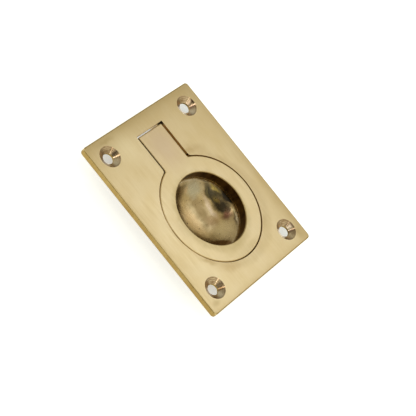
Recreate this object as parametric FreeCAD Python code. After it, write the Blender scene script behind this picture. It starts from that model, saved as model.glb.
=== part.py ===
import FreeCAD, Part
import math
import os

# Flush ring pull for a drawer or a cabinet door, cast in brass.
# Millimetres. The origin is the middle of the plate on the back of its flange.
# +X runs across the plate, +Y towards the hinge, +Z out of the face.

# Plate
plate_width = 51.0
plate_length = 63.0
flange_thick = 2.0
plate_corner_radius = 1.2
face_edge_radius = 0.4

# Screw holes
hole_inset = 6.5
screw_hole_dia = 3.6
countersink_dia = 7.25
countersink_depth = 1.35

# Ring
ring_from_foot = 26.05
ring_outer_dia = 36.3
ring_bore_dia = 24.9
ring_thick = 4.3
ring_side_draft = 8.0
ring_edge_radius = 0.4
ring_grip_radius = 0.7
ring_side_gap = 0.2
ring_seat_gap = 0.1

# Stem of the ring and the slot it lies in
slot_width = 12.4
slot_shift = 0.25
slot_end_inset = 6.0
slot_corner_radius = 1.2
slot_end_land = 0.9
stem_gap_left = 0.5
stem_gap_right = 0.75
stem_end_gap = 0.5
stem_root_radius = 0.5

# Hinge
pin_dia = 1.6
pin_running_clearance = 0.05
pin_below_flange = 0.1
pin_head_proud = 0.25
heel_length = 4.5
heel_top_radius = 0.4
heel_toe_radius = 1.4
knuckle_wall = 1.15

# Finger cup, dished to a flat crown with a tighter shoulder round it
seat_show = 0.75
cup_depth = 4.1
cup_crown_radius = 26.0
cup_crown_dia = 10.0
cup_rim_radius = 2.0

# Back of the casting, with tray and housing level
cast_wall = 2.1
cast_taper = 4.0
cast_root_radius = 0.5
cast_edge_radius = 0.8
dome_root_radius = 1.5
housing_wall = 2.0
housing_corner_radius = 1.5
housing_joint_radius = 1.0

# Places that follow from the sizes
face_z = flange_thick
half_width = plate_width / 2
half_length = plate_length / 2
ring_y = ring_from_foot - half_length
ring_radius = ring_outer_dia / 2
bore_radius = ring_bore_dia / 2
ring_bottom_z = face_z - ring_thick
seat_z = ring_bottom_z - ring_seat_gap
recess_radius = ring_radius + ring_side_gap
tray_radius = recess_radius + cast_wall
tray_back_z = seat_z - cast_wall
housing_back_z = tray_back_z
housing_depth = face_z - housing_back_z
slot_left_x = slot_shift - slot_width / 2
slot_right_x = slot_shift + slot_width / 2
slot_end_y = half_length - slot_end_inset
heel_relief = flange_thick - slot_end_land
stem_left_x = slot_left_x + stem_gap_left
stem_right_x = slot_right_x - stem_gap_right
stem_end_y = slot_end_y - stem_end_gap
pin_y = stem_end_y - heel_length
pin_z = -(pin_dia / 2 + pin_below_flange)
pin_bore_radius = pin_dia / 2 + pin_running_clearance
knuckle_radius = pin_bore_radius + knuckle_wall
housing_left_x = slot_left_x - housing_wall
housing_right_x = slot_right_x + housing_wall
housing_end_y = slot_end_y + heel_relief + housing_wall
cup_rim = bore_radius - seat_show
cup_bottom_z = seat_z - cup_depth

# The cup's profile: a crown arc, then a shoulder arc tangent to it that ends at the rim.
# Slopes are angles from level, radii are measured from the ring's axis.
crown_edge = cup_crown_dia / 2
crown_slope = math.asin(crown_edge / cup_crown_radius)
crown_centre_z = cup_bottom_z + cup_crown_radius
crown_edge_z = crown_centre_z - cup_crown_radius * math.cos(crown_slope)
shoulder_chord = math.hypot(cup_rim - crown_edge, seat_z - crown_edge_z)
shoulder_turn = math.atan2(seat_z - crown_edge_z, cup_rim - crown_edge) - crown_slope
shoulder_radius = shoulder_chord / (2 * math.sin(shoulder_turn))
shoulder_centre = crown_edge - shoulder_radius * math.sin(crown_slope)
shoulder_centre_z = crown_edge_z + shoulder_radius * math.cos(crown_slope)

# How far a cutting shape runs past the surface it cuts
past = 1.0


def block(x0, x1, y0, y1, z0, z1):
    """A box between two corners."""
    return Part.makeBox(x1 - x0, y1 - y0, z1 - z0, FreeCAD.Vector(x0, y0, z0))


def disc(radius, z0, z1):
    """An upright cylinder about the ring's axis."""
    return Part.makeCylinder(radius, z1 - z0, FreeCAD.Vector(0, ring_y, z0))


def cross_rod(radius, x0, x1):
    """A cylinder across the plate on the hinge axis."""
    start = FreeCAD.Vector(x0, pin_y, pin_z)
    return Part.makeCylinder(radius, x1 - x0, start, FreeCAD.Vector(1, 0, 0))


def near(a, b):
    """Whether two lengths are the same, bar rounding."""
    return abs(a - b) < 1e-4


def flat_at(edge, z):
    """Whether an edge lies flat at one height."""
    return near(edge.BoundBox.ZMin, z) and near(edge.BoundBox.ZMax, z)


def edges_at_height(shape, z):
    """All edges of a shape that lie flat at one height."""
    return [e for e in shape.Edges if flat_at(e, z)]


def circles(shape, radius, z):
    """Whole circles of one radius about the ring's axis at one height."""
    found = []
    for edge in edges_at_height(shape, z):
        box = edge.BoundBox
        if near(box.XLength, 2 * radius) and near(box.YLength, 2 * radius):
            found.append(edge)
    return found


def corner_edges(shape, y_low, y_high, tallness):
    """Upright or nearly upright edges of at least one height, in one stretch of the plate's length."""
    found = []
    for edge in shape.Edges:
        box = edge.BoundBox
        upright = box.ZLength > tallness and box.XLength < box.ZLength and box.YLength < box.ZLength
        if upright and y_low < box.YMin and box.YMax < y_high:
            found.append(edge)
    return found


def on_plate_outline(edge):
    """Whether an edge runs along the plate's own outline."""
    box = edge.BoundBox
    across = max(abs(box.XMin), abs(box.XMax)) > half_width - plate_corner_radius
    along = max(abs(box.YMin), abs(box.YMax)) > half_length - plate_corner_radius
    return across or along


def housing_outline(z, shrink):
    """The housing's outline at one height: straight sides and two rounded corners at the hinge end."""
    radius = housing_corner_radius
    bulge = radius * (1 - math.sqrt(0.5))
    left = housing_left_x + shrink
    right = housing_right_x - shrink
    end = housing_end_y - shrink

    def point(x, y):
        return FreeCAD.Vector(x, y, z)

    sides = [
        Part.LineSegment(point(left, ring_y), point(left, end - radius)),
        Part.Arc(point(left, end - radius), point(left + bulge, end - bulge), point(left + radius, end)),
        Part.LineSegment(point(left + radius, end), point(right - radius, end)),
        Part.Arc(point(right - radius, end), point(right - bulge, end - bulge), point(right, end - radius)),
        Part.LineSegment(point(right, end - radius), point(right, ring_y)),
        Part.LineSegment(point(right, ring_y), point(left, ring_y)),
    ]
    return Part.Wire([side.toShape() for side in sides])


def flange():
    """The flat plate with rounded corners and a softened face edge."""
    plate = block(-half_width, half_width, -half_length, half_length, 0, face_z)
    corners = corner_edges(plate, -plate_length, plate_length, flange_thick / 2)
    plate = plate.makeFillet(plate_corner_radius, corners)
    return plate.makeFillet(face_edge_radius, edges_at_height(plate, face_z))


def hinge_housing():
    """The walls behind the flange that carry the pin on both sides of the slot."""
    top_z = flange_thick / 2
    shrink = (top_z - housing_back_z) * math.tan(math.radians(cast_taper))
    return Part.makeLoft([housing_outline(top_z, 0), housing_outline(housing_back_z, shrink)], True, True)


def tray():
    """The round tray behind the ring's seat."""
    top_z = flange_thick / 2
    height = top_z - tray_back_z
    shrink = height * math.tan(math.radians(cast_taper))
    foot = FreeCAD.Vector(0, ring_y, tray_back_z)
    return Part.makeCone(tray_radius - shrink, tray_radius, height, foot)


def dish_width(grow, z):
    """The cup's radius at one height on its shoulder, with its wall moved out by grow."""
    reach = shoulder_radius + grow
    return shoulder_centre + math.sqrt(reach ** 2 - (shoulder_centre_z - z) ** 2)


def dish(grow, top_z):
    """The cup's hollow as a solid up to one height, with its wall moved out by grow."""

    def on_crown(slope):
        radius = cup_crown_radius + grow
        return FreeCAD.Vector(radius * math.sin(slope), ring_y, crown_centre_z - radius * math.cos(slope))

    def on_shoulder(slope):
        radius = shoulder_radius + grow
        away = shoulder_centre + radius * math.sin(slope)
        return FreeCAD.Vector(away, ring_y, shoulder_centre_z - radius * math.cos(slope))

    end_slope = math.acos((shoulder_centre_z - top_z) / (shoulder_radius + grow))
    middle_slope = (crown_slope + end_slope) / 2
    bottom = on_crown(0)
    edge = on_crown(crown_slope)
    end = on_shoulder(end_slope)
    top = FreeCAD.Vector(0, ring_y, end.z)
    outline = [
        Part.Arc(bottom, on_crown(crown_slope / 2), edge),
        Part.Arc(edge, on_shoulder(middle_slope), end),
        Part.LineSegment(end, top),
        Part.LineSegment(top, bottom),
    ]
    half = Part.Face(Part.Wire([line.toShape() for line in outline]))
    return half.revolve(FreeCAD.Vector(0, ring_y, 0), FreeCAD.Vector(0, 0, 1), 360)


def casting_outside():
    """Flange, housing, tray and dome as one body, with the round corners of a casting."""
    body = flange().fuse(hinge_housing()).fuse(tray()).removeSplitter()
    joints = corner_edges(body, ring_y, slot_end_y, housing_depth / 4)
    body = body.makeFillet(housing_joint_radius, joints)
    roots = [e for e in edges_at_height(body, 0) if not on_plate_outline(e)]
    body = body.makeFillet(cast_root_radius, roots)
    backs = [e for e in body.Edges if flat_at(e, tray_back_z) or flat_at(e, housing_back_z)]
    body = body.makeFillet(cast_edge_radius, backs)
    body = body.fuse(dish(cast_wall, tray_back_z)).removeSplitter()
    dome_root = dish_width(cast_wall, tray_back_z)
    return body.makeFillet(dome_root_radius, circles(body, dome_root, tray_back_z))


def hinge_well():
    """The slot right through flange and housing, undercut at its end for the heel."""
    back_z = housing_back_z - past
    profile = [
        (ring_y, back_z),
        (slot_end_y + heel_relief, back_z),
        (slot_end_y + heel_relief, 0),
        (slot_end_y, face_z - slot_end_land),
        (slot_end_y, face_z + past),
        (ring_y, face_z + past),
    ]
    points = [FreeCAD.Vector(slot_left_x, y, z) for y, z in profile]
    outline = Part.makePolygon(points + points[:1])
    through = Part.Face(outline).extrude(FreeCAD.Vector(slot_width, 0, 0))
    return through.cut(disc(tray_radius, back_z - past, face_z + 2 * past))


def ring_recess():
    """The room for the ring and its stem, with rounded corners where the two meet."""
    top = face_z + past
    well = disc(recess_radius, seat_z, top)
    channel = block(slot_left_x, slot_right_x, ring_y, slot_end_y, seat_z, top)
    room = well.fuse(channel).removeSplitter()
    corners = corner_edges(room, ring_y + past, slot_end_y - past, ring_thick / 2)
    return room.makeFillet(slot_corner_radius, corners)


def screw_hole(x, y):
    """One countersunk hole."""
    shank = Part.makeCylinder(screw_hole_dia / 2, flange_thick + 2 * past, FreeCAD.Vector(x, y, -past))
    foot = FreeCAD.Vector(x, y, face_z - countersink_depth)
    cone = Part.makeCone(screw_hole_dia / 2, countersink_dia / 2, countersink_depth, foot)
    return shank.fuse(cone)


def backplate():
    """The one casting that carries everything: flange, tray, cup and hinge housing."""
    plate = casting_outside().cut(hinge_well()).cut(ring_recess()).cut(dish(0, seat_z))
    hole_x = half_width - hole_inset
    hole_y = half_length - hole_inset
    for x in (-hole_x, hole_x):
        for y in (-hole_y, hole_y):
            plate = plate.cut(screw_hole(x, y))
    plate = plate.cut(cross_rod(pin_dia / 2, -half_width, half_width)).removeSplitter()
    return plate.makeFillet(cup_rim_radius, circles(plate, cup_rim, seat_z))


def ring_stem():
    """The stem with its rounded heel and the knuckle that the pin runs in."""
    stem = block(stem_left_x, stem_right_x, ring_y, stem_end_y, ring_bottom_z, face_z)
    for z, radius in ((face_z, heel_top_radius), (ring_bottom_z, heel_toe_radius)):
        end = [e for e in edges_at_height(stem, z) if near(e.BoundBox.YMin, stem_end_y)]
        stem = stem.makeFillet(radius, end)
    return stem.fuse(cross_rod(knuckle_radius, stem_left_x, stem_right_x))


def pull_ring():
    """The ring and its stem, one casting that tapers towards its underside."""
    taper = ring_thick * math.tan(math.radians(ring_side_draft))
    foot = FreeCAD.Vector(0, ring_y, ring_bottom_z)
    ring = Part.makeCone(ring_radius - taper, ring_radius, ring_thick, foot)
    body = ring.fuse(ring_stem()).removeSplitter()
    roots = corner_edges(body, ring_y + past, pin_y - knuckle_radius, ring_thick / 2)
    body = body.makeFillet(stem_root_radius, roots)
    body = body.makeFillet(ring_edge_radius, edges_at_height(body, ring_bottom_z))
    body = body.cut(disc(bore_radius, ring_bottom_z - past, face_z + past))
    body = body.makeFillet(ring_edge_radius, circles(body, bore_radius, face_z))
    body = body.makeFillet(ring_grip_radius, circles(body, bore_radius, ring_bottom_z))
    return body.cut(cross_rod(pin_bore_radius, stem_left_x - past, stem_right_x + past))


def hinge_pin():
    """A plain pin through both walls of the housing, its ends peened round."""
    pin = cross_rod(pin_dia / 2, housing_left_x - pin_head_proud, housing_right_x + pin_head_proud)
    ends = [e for e in pin.Edges if e.BoundBox.XLength < 1e-4]
    return pin.makeFillet(pin_head_proud, ends)


def stop_angle():
    """Degrees that the ring turns before the stem's face meets the edge of the slot's end."""
    return 180 - 2 * math.degrees(math.atan2(face_z - pin_z, slot_end_y - pin_y))


os.makedirs("parts", exist_ok=True)
for name, shape in (
    ("backplate", backplate()),
    ("pull_ring", pull_ring()),
    ("hinge_pin", hinge_pin()),
):
    shape.exportStep("parts/" + name + ".step")
    print(name, "valid", shape.isValid(), "solids", len(shape.Solids), "mm3", round(shape.Volume, 1))
print("hinge axis at y", round(pin_y, 3), "z", round(pin_z, 3))
print("stop at", round(stop_angle(), 1), "degrees")
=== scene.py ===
import math

import bmesh
import bpy
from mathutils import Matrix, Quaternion, Vector


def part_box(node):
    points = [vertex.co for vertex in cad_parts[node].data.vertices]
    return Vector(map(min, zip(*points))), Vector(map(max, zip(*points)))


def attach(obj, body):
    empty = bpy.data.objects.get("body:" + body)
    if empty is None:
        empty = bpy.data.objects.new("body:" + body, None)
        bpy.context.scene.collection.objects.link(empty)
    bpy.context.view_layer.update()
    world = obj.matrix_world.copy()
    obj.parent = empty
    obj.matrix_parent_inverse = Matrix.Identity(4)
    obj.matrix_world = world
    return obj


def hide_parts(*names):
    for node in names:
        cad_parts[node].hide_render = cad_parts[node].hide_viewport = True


# A flush ring pull of cast brass, lying face up in a light tent.
# Blender works in metres. Sizes here are written in millimetres and turned by mm.
# The origin is the middle of the plate on the back of its flange, +Y towards the hinge.
mm = 0.001

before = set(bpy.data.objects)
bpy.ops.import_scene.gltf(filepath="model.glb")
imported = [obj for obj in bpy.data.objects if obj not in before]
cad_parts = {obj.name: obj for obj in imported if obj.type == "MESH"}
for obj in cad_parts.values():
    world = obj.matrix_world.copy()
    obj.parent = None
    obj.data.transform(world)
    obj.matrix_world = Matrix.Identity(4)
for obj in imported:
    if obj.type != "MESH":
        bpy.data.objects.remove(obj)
bpy.context.view_layer.update()

# Sizes read from the frame
plate_low, plate_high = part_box("backplate")
ring_low, ring_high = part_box("pull_ring")
half_width = plate_high.x / mm
half_length = plate_high.y / mm
face_z = plate_high.z / mm
ring_radius = ring_high.x / mm
ring_y = ring_low.y / mm + ring_radius

# Sizes repeated from the part's source
edge_radius = 0.4
corner_radius = 1.2
hole_inset = 6.5
countersink_radius = 3.625
bore_radius = 12.45
grip_radius = 0.7
recess_radius = 18.35
ring_thick = 4.3
ring_seat_gap = 0.1
slot_width = 12.4
slot_shift = 0.25
slot_end_inset = 6.0

# Places worked out from them
hole_x = half_width - hole_inset
hole_y = half_length - hole_inset
ring_bottom_z = face_z - ring_thick
seat_z = ring_bottom_z - ring_seat_gap
slot_left = slot_shift - slot_width / 2
slot_right = slot_shift + slot_width / 2
slot_end = half_length - slot_end_inset
# About where the slot leaves the recess, and the stem the ring
slot_start = 12.5

# Camera, as measured in the photograph
aim_at = Vector((-1.27, -4.80, 2.0)) * mm
camera_distance = 452.63 * mm
camera_azimuth = -87.19
camera_elevation = 47.62
camera_roll = 49.17
camera_lens = 128.28
camera_sensor = 36.0

# Each patch below, whether stain, painted light or painted shade, has its middle, size, turn, softness,
# strength and colour.
# On the plate's face, mostly painted light and shade: paler by the hinge, darker towards the other edges,
# round the ring and by the lower holes
plate_shade_and_smudges = (
    ((-11.5, 25.0), (9.0, 9.0), 0, 1.0, 0.5, "#F4DEAE"),
    ((1.4, ring_y - 1.4), (20.8, 20.8), 0, 0.12, 0.22, "#A98A54"),
    ((-27.5, -8.0), (6.8, 56.0), 0, 1.0, 0.45, "#BC9C60"),
    ((28.0, -16.0), (10.0, 34.0), 0, 1.0, 0.5, "#BC9C60"),
    ((-9.3, -22.9), (7.2, 2.4), -27, 1.0, 0.34, "#B08A50"),
    ((-14.4, -17.8), (4.2, 1.4), -47, 0.9, 0.45, "#B0905A"),
    ((10.8, 12.4), (6.4, 2.6), -38, 1.0, 0.34, "#B4925C"),
    ((7.6, 13.0), (3.2, 1.6), -20, 0.9, 0.4, "#B08E54"),
    ((0.0, -33.0), (60.0, 4.4), 0, 1.0, 0.4, "#BC9C60"),
    ((-17.0, 29.4), (5.0, 1.3), 0, 0.9, 0.3, "#B09458"),
    ((14.2, -18.6), (4.4, 1.3), 45, 0.9, 0.25, "#B39860"),
    ((22.5, -28.0), (2.4, 3.0), 0, 0.9, 0.4, "#AA8E58"),
    ((-22.5, -28.6), (2.4, 1.8), 0, 0.9, 0.4, "#AA8E58"),
)
# On the ring's face: painted shade round the bore and at the foot, and a pinker tone on the stem
ring_shade_and_tint = (
    ((-0.6, ring_y - 0.7), (14.8, 14.8), 0, 0.16, 0.38, "#A99058"),
    ((-1.6, -19.6), (9.0, 2.6), 4, 0.9, 0.3, "#B0965C"),
    ((1.4, -22.2), (9.0, 2.2), 6, 0.9, 0.3, "#B0965C"),
    ((0.5, 19.0), (9.0, 13.0), 0, 0.9, 0.6, "#D2B594"),
)
# Painted highlight along the long rounded edge on the left
left_edge_highlight = (((edge_radius - half_width, 0.0), (edge_radius, 60.0), 0, 0.5, 0.95, "#F0D8A2"),)
# Painted light low on the slot's right wall where daylight comes in, and painted shade in its corner above
slot_light_and_shade = (
    ((slot_right, 25.4, -3.0), (1.0, 1.8, 3.0), 0, 0.5, 0.9, "#FFF0D4"),
    ((slot_right, 25.4, 1.2), (1.6, 1.2, 2.2), 0, 0.4, 0.95, "#2A1804"),
)
# Painted reflections and shade in the countersinks: paler and darker sectors, dimmed streaks and dark rims
countersink_painted_reflections = (
    ((-19.0, 22.6), (3.4, 1.8), 0, 0.9, 0.8, "#F6E8CE"),
    ((19.0, 22.6), (3.4, 1.8), 0, 0.9, 0.9, "#FAEEDA"),
    ((-19.0, -27.4), (3.4, 1.8), 0, 0.9, 0.8, "#F6E8CE"),
    ((19.0, -27.4), (3.4, 1.8), 0, 0.9, 0.7, "#EAD6B4"),
    ((-19.2, 27.2), (3.0, 1.6), 0, 0.9, 0.5, "#7E6038"),
    ((18.6, 27.4), (3.0, 1.4), 0, 0.9, 0.5, "#8A6C40"),
    ((-16.9, 25.1), (2.1, 0.9), 4, 0.5, 0.5, "#3A2614"),
    ((-16.8, 26.6), (1.6, 0.6), 20, 0.9, 0.6, "#8C7050"),
    ((-16.8, -25.2), (2.0, 0.9), -4, 0.5, 0.35, "#3E2A1A"),
    ((-17.1, -26.2), (2.6, 0.8), -16, 0.8, 0.8, "#80603A"),
    ((20.6, 25.4), (2.0, 1.1), 14, 0.8, 0.9, "#F4D8BE"),
    ((20.9, 24.0), (2.4, 0.8), -4, 0.8, 0.7, "#A08070"),
    ((22.4, 25.3), (0.6, 1.3), 0, 0.7, 0.85, "#4A3220"),
    ((20.7, -25.0), (2.0, 1.2), 0, 0.6, 0.9, "#F8E6D0"),
    ((20.9, -24.0), (2.4, 0.7), 12, 0.7, 0.65, "#80664E"),
    ((20.8, -26.2), (2.6, 0.8), -14, 0.7, 0.7, "#806450"),
    ((21.2, -27.2), (1.8, 1.0), 20, 0.9, 0.5, "#7A6040"),
    ((-16.8, -27.4), (1.8, 1.2), 30, 0.9, 0.5, "#7A6040"),
    ((22.4, -25.0), (0.5, 1.6), 0, 0.8, 0.7, "#5E4630"),
    ((-22.0, 26.0), (1.0, 2.2), 0, 0.9, 0.4, "#8A6428"),
    ((16.4, 26.6), (2.2, 2.6), -20, 0.9, 0.6, "#7A5A30"),
)
# Painted reflections, highlights and shade in the cup, placed from the ring's axis: the lamp's pale patch,
# the lens opening's dark patch with its glints and streaks, and darker brown by the rim
cup_painted_reflections = (
    ((-2.2, 0.2), (3.6, 7.4), 0, 0.7, 0.85, "#E4C088"),
    ((3.0, 1.2), (3.0, 8.6), -4, 0.7, 0.9, "#8E7449"),
    ((4.4, -3.2), (3.8, 3.2), 0, 0.9, 0.5, "#A9845A"),
    ((6.4, 1.5), (1.4, 6.5), -6, 0.9, 0.75, "#DEC6AC"),
    ((4.6, 8.4), (4.6, 3.6), -30, 0.8, 0.8, "#CDC3A8"),
    ((1.6, 9.4), (1.6, 1.0), 30, 0.9, 0.7, "#D6B384"),
    ((4.4, -7.8), (5.6, 4.4), 20, 0.8, 0.85, "#F0D6A4"),
    ((1.6, -5.0), (2.6, 2.0), 40, 0.9, 0.5, "#E6C894"),
    ((-1.4, -10.2), (4.6, 1.9), -32, 0.4, 0.95, "#7A5426"),
    ((-4.4, -4.6), (1.6, 3.4), 14, 0.8, 0.6, "#A07C44"),
    ((-1.4, 9.8), (3.0, 2.0), 20, 0.8, 0.75, "#8E6E42"),
    ((-4.6, 6.8), (1.6, 2.0), -30, 0.8, 0.5, "#8A6C40"),
    ((-2.0, 10.9), (1.6, 4.4), -38, 0.6, 0.8, "#644A26"),
    ((-5.3, 6.2), (1.0, 3.2), -18, 0.7, 0.6, "#6A5030"),
    ((-4.2, 3.6), (1.1, 2.8), 0, 0.8, 0.6, "#E8C894"),
    ((-2.6, -7.4), (1.6, 2.0), 30, 0.8, 0.55, "#8A6A3A"),
    ((8.9, 3.8), (1.7, 5.4), 5, 0.6, 0.94, "#3A3424"),
    ((10.6, 3.4), (1.6, 3.8), 8, 0.7, 0.85, "#4E4426"),
    ((10.5, 4.8), (0.8, 3.2), 12, 0.8, 0.9, "#B8A054"),
    ((9.2, -1.2), (2.5, 4.0), 6, 0.6, 0.94, "#2A2214"),
    ((9.7, 0.8), (0.4, 1.8), -14, 0.9, 0.6, "#80602E"),
    ((9.2, 1.4), (0.8, 2.2), 6, 0.9, 0.6, "#8A7436"),
    ((8.4, 5.2), (0.5, 2.2), -12, 0.9, 0.5, "#94865A"),
    ((8.6, -4.5), (2.3, 1.9), 10, 0.7, 0.85, "#6E4232"),
    ((9.8, -3.4), (1.1, 1.5), -30, 0.6, 0.85, "#4A3418"),
    ((12.0, 0.2), (1.3, 3.4), 0, 0.4, 0.97, "#1C1206"),
    ((12.0, 4.6), (0.8, 2.0), 20, 0.8, 0.8, "#E8D09A"),
    ((6.4, 11.0), (2.6, 0.9), -28, 0.8, 0.8, "#F0DCB4"),
    ((10.7, -5.0), (0.4, 2.2), -28, 0.7, 0.95, "#FAE6B4"),
    ((9.2, -7.0), (0.5, 4.2), -38, 0.9, 0.8, "#55422A"),
    ((10.3, -7.6), (1.3, 5.2), -38, 0.6, 0.9, "#FFF0D0"),
    ((9.8, 7.6), (0.9, 3.8), 38, 0.8, 0.8, "#F0DCB0"),
    ((8.9, 8.1), (0.4, 2.6), 40, 0.9, 0.7, "#5A4628"),
)


def colour(hex_code):
    """An sRGB hex colour as linear red, green, blue and alpha."""
    parts = [int(hex_code[i:i + 2], 16) / 255 for i in (1, 3, 5)]
    linear = [p / 12.92 if p <= 0.04045 else ((p + 0.055) / 1.055) ** 2.4 for p in parts]
    return (*linear, 1.0)


def node(tree, kind, inputs=None, **settings):
    """Adds a shader node with its settings. Each input is a value or the socket that feeds it."""
    made = tree.nodes.new(kind)
    for name, value in settings.items():
        setattr(made, name, value)
    for key, value in (inputs or {}).items():
        if isinstance(value, bpy.types.NodeSocket):
            tree.links.new(value, made.inputs[key])
        else:
            made.inputs[key].default_value = value
    return made


def start_material(name, metallic=1.0):
    """A material with its Principled shader, and the surface's place in millimetres."""
    material = bpy.data.materials.new(name)
    material.use_nodes = True
    tree = material.node_tree
    shader = tree.nodes["Principled BSDF"]
    shader.inputs["Metallic"].default_value = metallic
    place = node(tree, "ShaderNodeTexCoord")
    in_mm = node(
        tree, "ShaderNodeMapping", {"Vector": place.outputs["Object"], "Scale": (1 / mm, 1 / mm, 1 / mm)}
    )
    return material, tree, shader, in_mm.outputs["Vector"]


def ragged(tree, place, size, sway):
    """The place pushed about by a cloudy pattern, so that a patch laid on it gets an uneven edge."""
    cloud = node(tree, "ShaderNodeTexNoise", {"Vector": place, "Scale": 1 / size, "Detail": 3.0})
    centred = node(
        tree, "ShaderNodeVectorMath", {0: cloud.outputs["Color"], 1: (0.5, 0.5, 0.5)}, operation="SUBTRACT"
    )
    pushed = node(
        tree,
        "ShaderNodeVectorMath",
        {0: centred.outputs["Vector"], 1: (2 * sway, 2 * sway, 2 * sway), 2: place},
        operation="MULTIPLY_ADD",
    )
    return pushed.outputs["Vector"]


def patch(tree, place, centre, size, turn=0.0, soft=1.0):
    """A soft oval patch: 1 inside, falling to 0 at its edge over the share soft of its radius.

    With two figures for its middle and size it goes right through, with three it is a ball.
    """
    right_through = 99
    fitted = node(
        tree,
        "ShaderNodeMapping",
        {
            "Vector": place,
            "Location": (*centre, 0)[:3],
            "Rotation": (0, 0, math.radians(turn)),
            "Scale": (*size, right_through)[:3],
        },
        vector_type="TEXTURE",
    )
    ball = node(
        tree, "ShaderNodeTexGradient", {"Vector": fitted.outputs["Vector"]}, gradient_type="SPHERICAL"
    )
    eased = node(
        tree,
        "ShaderNodeMapRange",
        {"Value": ball.outputs["Fac"], "From Max": soft},
        interpolation_type="SMOOTHSTEP",
    )
    return eased.outputs["Result"]


def overlaid(tree, place, tone, tone_patches):
    """Lays patches of colour over a tone, one after the other: stains, painted light and painted shade."""
    for centre, size, turn, soft, strength, hex_code in tone_patches:
        where = patch(tree, place, centre, size, turn, soft)
        amount = node(tree, "ShaderNodeMath", {0: where, 1: strength}, operation="MULTIPLY")
        mixed = node(
            tree, "ShaderNodeMixRGB", {"Fac": amount.outputs[0], "Color1": tone, "Color2": colour(hex_code)}
        )
        tone = mixed.outputs["Color"]
    return tone


def linished_brass(name, tone_patches, rolled_off):
    """Cast brass finished lengthwise on a fine belt: a satin sheen with faint lines.

    The belt rolls off towards an edge, which rolled_off gives as a height in millimetres.
    """
    cloud_size = 7.0
    # The belt's scratches are some 0.03 mm wide, drawn wider so that they show.
    scratch_width = 0.25
    scratch_length = 10.0
    scratch_depth = 0.002
    material, tree, shader, place = start_material(name)
    cloud = node(tree, "ShaderNodeTexNoise", {"Vector": place, "Scale": 1 / cloud_size, "Detail": 5.0})
    mottled = node(
        tree, "ShaderNodeMapRange", {"Value": cloud.outputs["Fac"], "From Min": 0.3, "From Max": 0.7}
    )
    tone = node(
        tree,
        "ShaderNodeMixRGB",
        {"Fac": mottled.outputs["Result"], "Color1": colour("#DFC490"), "Color2": colour("#E4CB9B")},
    )
    along = node(
        tree, "ShaderNodeMapping", {"Vector": place, "Scale": (1 / scratch_width, 1 / scratch_length, 1.0)}
    )
    grain = node(tree, "ShaderNodeTexNoise", {"Vector": along.outputs["Vector"], "Scale": 1.0, "Detail": 4.0})
    lined = node(
        tree,
        "ShaderNodeMapRange",
        {"Value": grain.outputs["Fac"], "From Min": 0.35, "From Max": 0.65, "To Min": 0.0, "To Max": 0.09},
    )
    tone = node(
        tree,
        "ShaderNodeMixRGB",
        {"Fac": lined.outputs["Result"], "Color1": tone.outputs["Color"], "Color2": colour("#B4945A")},
    )
    tone = overlaid(tree, ragged(tree, place, size=3.0, sway=1.2), tone.outputs["Color"], tone_patches)
    tree.links.new(tone, shader.inputs["Base Color"])
    roughness = node(
        tree,
        "ShaderNodeMapRange",
        {"Value": grain.outputs["Fac"], "From Min": 0.3, "From Max": 0.7, "To Min": 0.3, "To Max": 0.42},
    )
    tree.links.new(roughness.outputs["Result"], shader.inputs["Roughness"])
    height = node(
        tree,
        "ShaderNodeMath",
        {0: grain.outputs["Fac"], 1: scratch_depth, 2: rolled_off(tree, place)},
        operation="MULTIPLY_ADD",
    )
    bump = node(tree, "ShaderNodeBump", {"Distance": mm, "Height": height.outputs[0]})
    tree.links.new(bump.outputs["Normal"], shader.inputs["Normal"])
    return material


def rolled_plate(tree, place):
    """The plate's face drops a little towards its four edges, most at the hinge end."""
    part = node(tree, "ShaderNodeSeparateXYZ", {"Vector": place})
    height = 0.0
    for axis, side, half, reach, depth in (
        ("X", 1, half_width, 2.6, 0.16),
        ("X", -1, half_width, 0.9, 0.12),
        ("Y", 1, half_length, 3.0, 0.47),
        ("Y", -1, half_length, 1.2, 0.08),
    ):
        inward = node(
            tree,
            "ShaderNodeMath",
            {0: part.outputs[axis], 1: side / reach, 2: -half / reach},
            operation="MULTIPLY_ADD",
        )
        nearness = node(tree, "ShaderNodeMath", {0: inward.outputs[0]}, operation="EXPONENT")
        drop = node(
            tree, "ShaderNodeMath", {0: nearness.outputs[0], 1: -depth, 2: height}, operation="MULTIPLY_ADD"
        )
        height = drop.outputs[0]
    return height


def rolled_ring(tree, place):
    """The ring's face drops a little towards its bore."""
    reach = 0.8
    depth = 0.02
    from_axis = node(
        tree, "ShaderNodeMapping", {"Vector": place, "Location": (0, -ring_y, 0), "Scale": (1, 1, 0)}
    )
    away = node(tree, "ShaderNodeVectorMath", {0: from_axis.outputs["Vector"]}, operation="LENGTH")
    inward = node(
        tree,
        "ShaderNodeMath",
        {0: away.outputs["Value"], 1: -1 / reach, 2: bore_radius / reach},
        operation="MULTIPLY_ADD",
    )
    nearness = node(tree, "ShaderNodeMath", {0: inward.outputs[0]}, operation="EXPONENT")
    return node(tree, "ShaderNodeMath", {0: nearness.outputs[0], 1: -depth}, operation="MULTIPLY").outputs[0]


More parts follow.
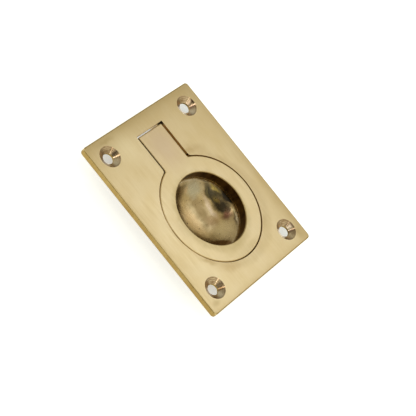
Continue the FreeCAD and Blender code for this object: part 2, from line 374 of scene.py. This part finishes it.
def countersunk_brass():
    """Brass turned with a countersink bit: fine rings that draw light out into rays."""
    blotch_size = 1.2
    # The bit's rings are some 0.05 mm apart, drawn further apart so that they show.
    groove_spacing = 0.2
    groove_depth = 0.0025
    material, tree, shader, place = start_material("countersunk_brass")
    folded = node(tree, "ShaderNodeVectorMath", {0: place}, operation="ABSOLUTE")
    from_hole = node(
        tree,
        "ShaderNodeVectorMath",
        {0: folded.outputs["Vector"], 1: (hole_x, hole_y, 0)},
        operation="SUBTRACT",
    )
    level = node(
        tree, "ShaderNodeVectorMath", {0: from_hole.outputs["Vector"], 1: (1, 1, 0)}, operation="MULTIPLY"
    )
    away = node(tree, "ShaderNodeVectorMath", {0: level.outputs["Vector"]}, operation="LENGTH")
    grooves = node(
        tree,
        "ShaderNodeTexNoise",
        {"W": away.outputs["Value"], "Scale": 1 / groove_spacing, "Detail": 2.0},
        noise_dimensions="1D",
    )
    blotch = node(tree, "ShaderNodeTexNoise", {"Vector": place, "Scale": 1 / blotch_size, "Detail": 3.0})
    worn = node(
        tree, "ShaderNodeMath", {0: grooves.outputs["Fac"], 1: blotch.outputs["Fac"]}, operation="MULTIPLY"
    )
    spread = node(tree, "ShaderNodeMapRange", {"Value": worn.outputs[0], "From Min": 0.1, "From Max": 0.4})
    tone = node(
        tree,
        "ShaderNodeMixRGB",
        {"Fac": spread.outputs["Result"], "Color1": colour("#9A7C5A"), "Color2": colour("#ECD4B2")},
    )
    uneven = ragged(tree, place, size=0.8, sway=0.25)
    tone = overlaid(tree, uneven, tone.outputs["Color"], countersink_painted_reflections)
    tree.links.new(tone, shader.inputs["Base Color"])
    shader.inputs["Roughness"].default_value = 0.17
    shader.inputs["Anisotropic"].default_value = 0.9
    side = node(tree, "ShaderNodeVectorMath", {0: place}, operation="SIGN")
    radial = node(
        tree,
        "ShaderNodeVectorMath",
        {0: level.outputs["Vector"], 1: side.outputs["Vector"]},
        operation="MULTIPLY",
    )
    tree.links.new(radial.outputs["Vector"], shader.inputs["Tangent"])
    bump = node(tree, "ShaderNodeBump", {"Distance": groove_depth * mm, "Height": grooves.outputs["Fac"]})
    tree.links.new(bump.outputs["Normal"], shader.inputs["Normal"])
    return material


def dished_brass():
    """The finger cup: polished once and pitted from the casting, with painted reflections, highlights and
    shade laid over its tone.
    """
    cloud_size = 3.0
    # Sand grains left pits a few tenths of a millimetre wide, in groups.
    pit_spacing = 1.6
    pit_group = 2.5
    pit_depth = 0.06
    ripple_size = 1.4
    ripple_height = 0.03
    material, tree, shader, place = start_material("dished_brass")
    from_axis = node(tree, "ShaderNodeMapping", {"Vector": place, "Location": (0, -ring_y, 0)})
    cloud = node(
        tree,
        "ShaderNodeTexNoise",
        {"Vector": place, "Scale": 1 / cloud_size, "Detail": 6.0, "Roughness": 0.6},
    )
    spread = node(
        tree, "ShaderNodeMapRange", {"Value": cloud.outputs["Fac"], "From Min": 0.3, "From Max": 0.7}
    )
    tone = node(
        tree,
        "ShaderNodeMixRGB",
        {"Fac": spread.outputs["Result"], "Color1": colour("#A89062"), "Color2": colour("#D4B886")},
    )
    uneven = ragged(tree, from_axis.outputs["Vector"], size=2.0, sway=0.8)
    tone = overlaid(tree, uneven, tone.outputs["Color"], cup_painted_reflections)
    pits = node(tree, "ShaderNodeTexVoronoi", {"Vector": place, "Scale": 1 / pit_spacing, "Randomness": 1.0})
    pitted = node(
        tree,
        "ShaderNodeMapRange",
        {"Value": pits.outputs["Distance"], "From Min": 0.06, "From Max": 0.16, "To Min": 1.0, "To Max": 0.0},
    )
    few = node(tree, "ShaderNodeTexNoise", {"Vector": place, "Scale": 1 / pit_group})
    chosen = node(
        tree, "ShaderNodeMapRange", {"Value": few.outputs["Fac"], "From Min": 0.5, "From Max": 0.56}
    )
    pit = node(
        tree,
        "ShaderNodeMath",
        {0: pitted.outputs["Result"], 1: chosen.outputs["Result"]},
        operation="MULTIPLY",
    )
    dark = node(tree, "ShaderNodeMath", {0: pit.outputs[0], 1: 0.8}, operation="MULTIPLY")
    tone = node(
        tree, "ShaderNodeMixRGB", {"Fac": dark.outputs[0], "Color1": tone, "Color2": colour("#4A3820")}
    )
    tree.links.new(tone.outputs["Color"], shader.inputs["Base Color"])
    roughness = node(
        tree,
        "ShaderNodeMapRange",
        {"Value": cloud.outputs["Fac"], "From Min": 0.3, "From Max": 0.7, "To Min": 0.32, "To Max": 0.2},
    )
    tree.links.new(roughness.outputs["Result"], shader.inputs["Roughness"])
    # Towards the rim the cup turns only half metallic
    flat = node(tree, "ShaderNodeVectorMath", {0: uneven, 1: (1, 1, 0)}, operation="MULTIPLY")
    away = node(tree, "ShaderNodeVectorMath", {0: flat.outputs["Vector"]}, operation="LENGTH")
    bare = node(
        tree,
        "ShaderNodeMapRange",
        {"Value": away.outputs["Value"], "From Min": 8.0, "From Max": 11.0, "To Min": 1.0, "To Max": 0.5},
    )
    tree.links.new(bare.outputs["Result"], shader.inputs["Metallic"])
    ripple = node(tree, "ShaderNodeTexNoise", {"Vector": place, "Scale": 1 / ripple_size, "Detail": 3.0})
    height = node(
        tree, "ShaderNodeMath", {0: ripple.outputs["Fac"], 1: ripple_height}, operation="MULTIPLY"
    )
    sunk = node(
        tree,
        "ShaderNodeMath",
        {0: pit.outputs[0], 1: -pit_depth, 2: height.outputs[0]},
        operation="MULTIPLY_ADD",
    )
    bump = node(tree, "ShaderNodeBump", {"Distance": mm, "Height": sunk.outputs[0]})
    tree.links.new(bump.outputs["Normal"], shader.inputs["Normal"])
    return material


def sand_cast_brass():
    """Brass as it left the sand: dull, brown and grainy."""
    # Foundry sand is some 0.2 mm, drawn coarser so that it shows.
    grain_size = 0.4
    grain_height = 0.05
    cloud_size = 7.0
    material, tree, shader, place = start_material("sand_cast_brass")
    sand = node(tree, "ShaderNodeTexNoise", {"Vector": place, "Scale": 1 / grain_size, "Detail": 4.0})
    cloud = node(tree, "ShaderNodeTexNoise", {"Vector": place, "Scale": 1 / cloud_size, "Detail": 3.0})
    mottle = node(
        tree, "ShaderNodeMath", {0: sand.outputs["Fac"], 1: cloud.outputs["Fac"]}, operation="MULTIPLY"
    )
    spread = node(
        tree, "ShaderNodeMapRange", {"Value": mottle.outputs[0], "From Min": 0.12, "From Max": 0.4}
    )
    tone = node(
        tree,
        "ShaderNodeMixRGB",
        {"Fac": spread.outputs["Result"], "Color1": colour("#6A5029"), "Color2": colour("#A58A58")},
    )
    tree.links.new(tone.outputs["Color"], shader.inputs["Base Color"])
    roughness = node(
        tree, "ShaderNodeMapRange", {"Value": cloud.outputs["Fac"], "To Min": 0.5, "To Max": 0.72}
    )
    tree.links.new(roughness.outputs["Result"], shader.inputs["Roughness"])
    bump = node(tree, "ShaderNodeBump", {"Distance": grain_height * mm, "Height": sand.outputs["Fac"]})
    tree.links.new(bump.outputs["Normal"], shader.inputs["Normal"])
    return material


def soiled_and_shaded_brass(name, low, high):
    """Walls out of the belt's reach: the cast skin, dark with old polish and grease; on the stem's left side
    and the slot's left wall the darkness is painted shade.
    """
    run_width = 1.4
    run_length = 4.0
    grime_height = 0.03
    material, tree, shader, place = start_material(name)
    runs = node(
        tree, "ShaderNodeMapping", {"Vector": place, "Scale": (1 / run_width, 1 / run_width, 1 / run_length)}
    )
    grime = node(tree, "ShaderNodeTexNoise", {"Vector": runs.outputs["Vector"], "Scale": 1.0, "Detail": 4.0})
    spread = node(
        tree, "ShaderNodeMapRange", {"Value": grime.outputs["Fac"], "From Min": 0.3, "From Max": 0.7}
    )
    tone = node(
        tree,
        "ShaderNodeMixRGB",
        {"Fac": spread.outputs["Result"], "Color1": colour(low), "Color2": colour(high)},
    )
    tree.links.new(tone.outputs["Color"], shader.inputs["Base Color"])
    roughness = node(
        tree, "ShaderNodeMapRange", {"Value": grime.outputs["Fac"], "To Min": 0.4, "To Max": 0.62}
    )
    tree.links.new(roughness.outputs["Result"], shader.inputs["Roughness"])
    bump = node(tree, "ShaderNodeBump", {"Distance": grime_height * mm, "Height": grime.outputs["Fac"]})
    tree.links.new(bump.outputs["Normal"], shader.inputs["Normal"])
    return material


def milled_brass(name, low, high, rough, tone_patches=()):
    """Brass cut with a mill or a file: fine upright lines and a deeper yellow than the linished face."""
    cloud_size = 6.0
    # The cutter's marks are some 0.1 mm apart, drawn further apart so that they show.
    mark_width = 0.3
    mark_length = 6.0
    mark_depth = 0.004
    material, tree, shader, place = start_material(name)
    upright = node(
        tree,
        "ShaderNodeMapping",
        {"Vector": place, "Scale": (1 / mark_width, 1 / mark_width, 1 / mark_length)},
    )
    marks = node(
        tree, "ShaderNodeTexNoise", {"Vector": upright.outputs["Vector"], "Scale": 1.0, "Detail": 3.0}
    )
    cloud = node(tree, "ShaderNodeTexNoise", {"Vector": place, "Scale": 1 / cloud_size, "Detail": 3.0})
    both = node(
        tree, "ShaderNodeMath", {0: marks.outputs["Fac"], 1: cloud.outputs["Fac"]}, operation="ADD"
    )
    spread = node(tree, "ShaderNodeMapRange", {"Value": both.outputs[0], "From Min": 0.7, "From Max": 1.3})
    tone = node(
        tree,
        "ShaderNodeMixRGB",
        {"Fac": spread.outputs["Result"], "Color1": colour(low), "Color2": colour(high)},
    )
    tone = overlaid(tree, place, tone.outputs["Color"], tone_patches)
    tree.links.new(tone, shader.inputs["Base Color"])
    roughness = node(
        tree,
        "ShaderNodeMapRange",
        {"Value": marks.outputs["Fac"], "To Min": rough - 0.1, "To Max": rough + 0.1},
    )
    tree.links.new(roughness.outputs["Result"], shader.inputs["Roughness"])
    bump = node(tree, "ShaderNodeBump", {"Distance": mark_depth * mm, "Height": marks.outputs["Fac"]})
    tree.links.new(bump.outputs["Normal"], shader.inputs["Normal"])
    return material


def drawn_brass():
    """Drawn brass wire, cut to length and peened: lines along it and small dents."""
    # The die's lines are some 0.02 mm wide, drawn wider so that they show.
    line_width = 0.15
    line_length = 5.0
    dent_size = 0.4
    dent_depth = 0.03
    material, tree, shader, place = start_material("drawn_brass")
    along = node(
        tree,
        "ShaderNodeMapping",
        {"Vector": place, "Scale": (1 / line_length, 1 / line_width, 1 / line_width)},
    )
    lines = node(tree, "ShaderNodeTexNoise", {"Vector": along.outputs["Vector"], "Scale": 1.0, "Detail": 2.0})
    tone = node(
        tree,
        "ShaderNodeMixRGB",
        {"Fac": lines.outputs["Fac"], "Color1": colour("#A8873F"), "Color2": colour("#CDAE6A")},
    )
    tree.links.new(tone.outputs["Color"], shader.inputs["Base Color"])
    roughness = node(
        tree, "ShaderNodeMapRange", {"Value": lines.outputs["Fac"], "To Min": 0.28, "To Max": 0.45}
    )
    tree.links.new(roughness.outputs["Result"], shader.inputs["Roughness"])
    dents = node(
        tree, "ShaderNodeTexVoronoi", {"Vector": place, "Scale": 1 / dent_size}, feature="SMOOTH_F1"
    )
    bump = node(tree, "ShaderNodeBump", {"Distance": dent_depth * mm, "Height": dents.outputs["Distance"]})
    tree.links.new(bump.outputs["Normal"], shader.inputs["Normal"])
    return material


def from_ring_axis(place):
    """Distance from the ring's axis in the plane of the plate."""
    return math.hypot(place.x, place.y - ring_y)


def inside_outline(place):
    """How far a point lies inside the plate's outline with its round corners."""
    past_x = abs(place.x) - (half_width - corner_radius)
    past_y = abs(place.y) - (half_length - corner_radius)
    if past_x > 0 and past_y > 0:
        return corner_radius - math.hypot(past_x, past_y)
    return min(half_width - abs(place.x), half_length - abs(place.y))


def plate_finish(place, normal):
    """Which finish a face of the plate has, by its place in millimetres and its direction."""
    near = 0.1
    # The recess's wall turns into the slot with a small round, and the tray behind it is 2.1 mm thick.
    end_round = 0.3
    half_wall = 1.0
    from_hole = math.hypot(abs(place.x) - hole_x, abs(place.y) - hole_y)
    from_axis = from_ring_axis(place)
    from_edge = inside_outline(place)
    flat = normal.z > 0.99
    nearly_flat = normal.z > 0.9
    steep = normal.z < 0.3
    faces_up = normal.z > 0.1
    faces_down = normal.z < -0.1
    if from_hole < countersink_radius and place.z > 0 and not flat:
        return "countersunk" if faces_up else "drilled hole"
    if place.z > face_z - edge_radius and faces_up:
        return "worn edge with painted highlight" if from_edge < edge_radius and not flat else "linished"
    if from_edge < near:
        return "milled edge"
    if from_axis < bore_radius + grip_radius and place.z < seat_z + near and normal.z > 0:
        return "dished"
    if slot_left - near < place.x < slot_right + near and slot_start < place.y < slot_end + near:
        # The slot's left wall takes the dark finish as painted shade, its right wall the bright one.
        return "soiled and shaded" if place.x < slot_left + near else "milled slot"
    if faces_down or (steep and place.z < near and from_axis > recess_radius + half_wall):
        return "sand cast"
    if abs(from_axis - recess_radius) < end_round and place.z > seat_z:
        return "milled recess"
    return "turned seat" if nearly_flat and place.z > seat_z - near else "soiled and shaded"


def ring_finish(place, normal):
    """Which finish a face of the ring has, by its place in millimetres and its direction."""
    if place.z > face_z - edge_radius and normal.z > 0.1:
        return "linished"
    if from_ring_axis(place) < bore_radius + grip_radius:
        return "polished" if place.z < ring_bottom_z + grip_radius else "soiled and shaded"
    if place.y > slot_start:
        # The stem's left side takes the dark finish as painted shade.
        return "soiled and shaded" if place.x < 0 and abs(normal.x) > 0.5 else "milled slot"
    return "turned wall" if normal.z > -0.5 else "filed back"


def finished_copy(cad_name, name, body, materials, choose):
    """A merged copy of a CAD node whose faces take the material that choose names."""
    same_place = 1e-7
    sharp_from = math.radians(28)
    mesh = bpy.data.meshes.new(name)
    bm = bmesh.new()
    bm.from_mesh(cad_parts[cad_name].data)
    bmesh.ops.remove_doubles(bm, verts=bm.verts, dist=same_place)
    order = list(materials)
    for face in bm.faces:
        face.smooth = True
        centre = face.calc_center_median() / mm
        face.material_index = order.index(choose(centre, face.normal))
    for edge in bm.edges:
        if edge.calc_face_angle(0) > sharp_from:
            edge.smooth = False
    bm.to_mesh(mesh)
    bm.free()
    for finish in order:
        mesh.materials.append(materials[finish])
    piece = bpy.data.objects.new(name, mesh)
    bpy.context.scene.collection.objects.link(piece)
    normals = piece.modifiers.new("normals", "WEIGHTED_NORMAL")
    normals.keep_sharp = True
    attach(piece, body)
    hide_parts(cad_name)


def make_floor():
    """A white sheet under the dome of the cup. It glows to the eye and in the metal, not as a lamp."""
    reach = 2000 * mm
    fibre_size = 2.0
    # Painted shadow: the sheet glows dimmer under the plate, as seen through the holes, and dimmest on the
    # right.
    shade_middle = (9, 0, 0)
    shade_half = (22.5, 29, 0)
    open_glow = 0.74
    left_glow = 0.43
    right_glow = 0.27
    bm = bmesh.new()
    bmesh.ops.create_grid(bm, x_segments=1, y_segments=1, size=reach)
    bmesh.ops.translate(bm, verts=bm.verts, vec=(0, 0, plate_low.z))
    mesh = bpy.data.meshes.new("floor")
    bm.to_mesh(mesh)
    bm.free()
    material, tree, shader, place = start_material("white_paper", metallic=0.0)
    fibre = node(tree, "ShaderNodeTexNoise", {"Vector": place, "Scale": 1 / fibre_size, "Detail": 4.0})
    tone = node(
        tree,
        "ShaderNodeMixRGB",
        {"Fac": fibre.outputs["Fac"], "Color1": colour("#EEF2F6"), "Color2": colour("#F5F8FB")},
    )
    tree.links.new(tone.outputs["Color"], shader.inputs["Base Color"])
    shader.inputs["Roughness"].default_value = 0.9
    path = node(tree, "ShaderNodeLightPath")
    glossy = node(
        tree,
        "ShaderNodeMath",
        {0: path.outputs["Is Camera Ray"], 1: path.outputs["Is Glossy Ray"]},
        operation="MAXIMUM",
    )
    seen = node(
        tree,
        "ShaderNodeMath",
        {0: glossy.outputs[0], 1: path.outputs["Is Transmission Ray"]},
        operation="MAXIMUM",
    )
    under = node(tree, "ShaderNodeVectorMath", {0: place, 1: shade_middle}, operation="SUBTRACT")
    folded = node(tree, "ShaderNodeVectorMath", {0: under.outputs["Vector"]}, operation="ABSOLUTE")
    outward = node(
        tree, "ShaderNodeVectorMath", {0: folded.outputs["Vector"], 1: shade_half}, operation="SUBTRACT"
    )
    side = node(tree, "ShaderNodeSeparateXYZ", {"Vector": outward.outputs["Vector"]})
    furthest = node(
        tree, "ShaderNodeMath", {0: side.outputs["X"], 1: side.outputs["Y"]}, operation="MAXIMUM"
    )
    along = node(tree, "ShaderNodeSeparateXYZ", {"Vector": place})
    dimmest = node(
        tree,
        "ShaderNodeMapRange",
        {"Value": along.outputs["X"], "From Max": 25.0, "To Min": left_glow, "To Max": right_glow},
    )
    shaded = node(
        tree,
        "ShaderNodeMapRange",
        {
            "Value": furthest.outputs[0],
            "From Min": -2.0,
            "From Max": 3.0,
            "To Min": dimmest.outputs["Result"],
            "To Max": open_glow,
        },
        interpolation_type="SMOOTHSTEP",
    )
    glow = node(
        tree, "ShaderNodeMath", {0: seen.outputs[0], 1: shaded.outputs["Result"]}, operation="MULTIPLY"
    )
    shader.inputs["Emission Color"].default_value = (0.98, 1.0, 0.97, 1)
    tree.links.new(glow.outputs[0], shader.inputs["Emission Strength"])
    mesh.materials.append(material)
    floor = bpy.data.objects.new("floor", mesh)
    bpy.context.scene.collection.objects.link(floor)


def light_tent():
    """A pale tent: dimmer at the hinge end, with a bright seam overhead and a dark opening for the lens."""
    foot_end = 0.72
    hinge_end = 0.46
    seam = ((0.14, -0.05), (0.14, 0.75), 0.8, 0.95)
    opening = ((-0.72, -0.04, 0.68), (0.28, 0.34, 0.4), 0.2, 0.1)
    world = bpy.data.worlds.new("tent")
    bpy.context.scene.world = world
    world.use_nodes = True
    tree = world.node_tree
    background = tree.nodes["Background"]
    way = node(tree, "ShaderNodeTexCoord").outputs["Generated"]
    part = node(tree, "ShaderNodeSeparateXYZ", {"Vector": way})
    cloth = node(
        tree,
        "ShaderNodeMapRange",
        {
            "Value": part.outputs["Y"],
            "From Min": -0.6,
            "From Max": 0.6,
            "To Min": foot_end,
            "To Max": hinge_end,
        },
    )
    # The cloth is half as bright low down
    low = node(
        tree,
        "ShaderNodeMapRange",
        {"Value": part.outputs["Z"], "From Min": 0.0, "From Max": 0.4, "To Min": 0.5, "To Max": 1.0},
    )
    level = node(
        tree, "ShaderNodeMath", {0: cloth.outputs["Result"], 1: low.outputs["Result"]}, operation="MULTIPLY"
    ).outputs[0]
    for centre, size, soft, brightness in (seam, opening):
        where = patch(tree, way, centre, size, 0, soft)
        mixed = node(tree, "ShaderNodeMapRange", {"Value": where, "To Min": level, "To Max": brightness})
        level = mixed.outputs["Result"]
    # The camera itself sees a plain white background
    seen = node(tree, "ShaderNodeLightPath").outputs["Is Camera Ray"]
    tint = node(
        tree, "ShaderNodeMixRGB", {"Fac": seen, "Color1": (1.0, 0.97, 0.77, 1), "Color2": (1.0, 1.0, 1.0, 1)}
    )
    tree.links.new(tint.outputs["Color"], background.inputs["Color"])
    strength = node(tree, "ShaderNodeMapRange", {"Value": seen, "To Min": level, "To Max": 1.0})
    tree.links.new(strength.outputs["Result"], background.inputs["Strength"])


def soft_lamp(name, place, size, brightness, tint):
    """A soft oval lamp facing the ring, its first size level. Brightness is as seen, as a share of white."""
    faces = Vector((0, -5, 0)) * mm
    lamp = bpy.data.lights.new(name, "AREA")
    lamp.shape = "ELLIPSE"
    lamp.size = size[0] * mm
    lamp.size_y = size[1] * mm
    lamp.energy = brightness * math.pi * math.pi * lamp.size * lamp.size_y / 4
    lamp.color = tint
    holder = bpy.data.objects.new(name, lamp)
    holder.location = Vector(place) * mm
    holder.rotation_mode = "QUATERNION"
    holder.rotation_quaternion = (faces - holder.location).to_track_quat("-Z", "Y")
    bpy.context.scene.collection.objects.link(holder)


def make_camera():
    """The camera at the photograph's place, rolled as the photograph is."""
    azimuth = math.radians(camera_azimuth)
    elevation = math.radians(camera_elevation)
    back = Vector((
        math.sin(azimuth) * math.cos(elevation),
        -math.cos(azimuth) * math.cos(elevation),
        math.sin(elevation),
    ))
    data = bpy.data.cameras.new("camera")
    data.lens = camera_lens
    data.sensor_width = camera_sensor
    data.clip_start = 10 * mm
    data.clip_end = 10000 * mm
    camera = bpy.data.objects.new("camera", data)
    camera.location = aim_at + camera_distance * back
    camera.rotation_mode = "QUATERNION"
    level = (-back).to_track_quat("-Z", "Y")
    camera.rotation_quaternion = level @ Quaternion((0, 0, 1), math.radians(camera_roll))
    bpy.context.scene.collection.objects.link(camera)
    bpy.context.scene.camera = camera


finishes = {
    "linished": linished_brass("linished_plate", plate_shade_and_smudges, rolled_plate),
    "countersunk": countersunk_brass(),
    "dished": dished_brass(),
    "soiled and shaded": soiled_and_shaded_brass("soiled_and_shaded_brass", "#543C1D", "#886636"),
    # Rounded edges browner than the face, with a painted highlight along the long one on the left
    "worn edge with painted highlight": milled_brass("worn_edge_painted_highlight", "#A08550", "#BCA26A", 0.45, left_edge_highlight),
    "milled edge": milled_brass("milled_edge", "#9A7B40", "#B69C60", 0.42),
    # The slot's bright walls, carrying the slot's painted light and shade
    "milled slot": milled_brass("milled_slot", "#EACA84", "#F6DEA6", 0.55, slot_light_and_shade),
    "milled recess": milled_brass("milled_recess", "#E0B876", "#F0D49C", 0.5),
    "drilled hole": milled_brass("drilled_hole", "#8C7436", "#AC904E", 0.5),
    "turned seat": milled_brass("turned_seat", "#9A7A44", "#BA9A60", 0.5),
    "sand cast": sand_cast_brass(),
}
finished_copy("backplate", "plate", "plate", finishes, plate_finish)
ring_finishes = {
    "linished": linished_brass("linished_ring", ring_shade_and_tint, rolled_ring),
    "polished": milled_brass("polished_grip", "#C8AE7A", "#E0CCA0", 0.25),
    "milled slot": finishes["milled slot"],
    "turned wall": milled_brass("turned_wall", "#F2DAA6", "#FCEAC2", 0.5),
    "filed back": milled_brass("filed_back", "#C4A464", "#DAC088", 0.45),
    "soiled and shaded": finishes["soiled and shaded"],
}
finished_copy("pull_ring", "ring", "ring", ring_finishes, ring_finish)
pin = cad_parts["hinge_pin"]
pin.material_slots[0].link = "OBJECT"
pin.material_slots[0].material = drawn_brass()

make_floor()
light_tent()
key_tint = (0.615, 0.74, 1.0)
soft_lamp("key", (142, -13, 220), (120, 120), 0.75, key_tint)
soft_lamp("key_spread", (136, -19, 225), (220, 210), 0.53, key_tint)
soft_lamp("seam_hinge_side", (-320, 376, 632), (84, 280), 4.4, (1.0, 0.96, 0.92))
soft_lamp("seam_foot_side", (-315, -400, 625), (84, 280), 2.0, (1.0, 0.96, 0.9))
soft_lamp("ceiling", (-150, -45, 352), (150, 60), 0.9, (1.0, 0.94, 0.88))
make_camera()
bpy.context.scene.view_settings.view_transform = "Standard"

bpy.context.view_layer.update()
